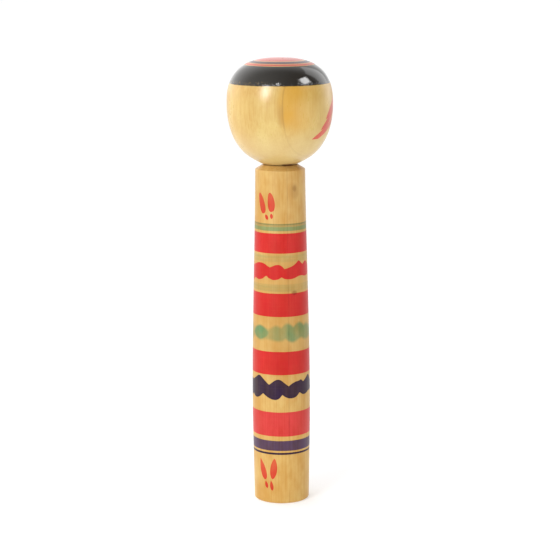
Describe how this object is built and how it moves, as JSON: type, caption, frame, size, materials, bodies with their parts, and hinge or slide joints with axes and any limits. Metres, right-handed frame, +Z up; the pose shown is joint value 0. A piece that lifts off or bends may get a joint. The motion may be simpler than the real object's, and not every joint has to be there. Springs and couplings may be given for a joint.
{
  "type": "kokeshi doll",
  "caption": "Turned wooden doll with an apple-shaped head that swivels on a slim barrel body, with a capped crown, dyed bands, waves and petal strokes.",
  "frame": {"origin": "centre of the flat base, on the turning axis", "axes": "+Z up along the turning axis; the face looks along -Y, so +X is the doll's own left"},
  "size_m": [0.057, 0.057, 0.2424],
  "materials": {
    "head_wood": "dyed and waxed, satin gloss",
    "body_wood": "dyed in bands and waxed, satin gloss"
  },
  "bodies": {
    "body": {"body": "body_wood"},
    "head": {"head": "head_wood"}
  },
  "joints": [
    {"name": "head_turn", "type": "hinge", "parent": "body", "child": "head", "pos_m": [0, 0, 0.1854], "axis": [0, 0, 1], "continuous": true}
  ]
}
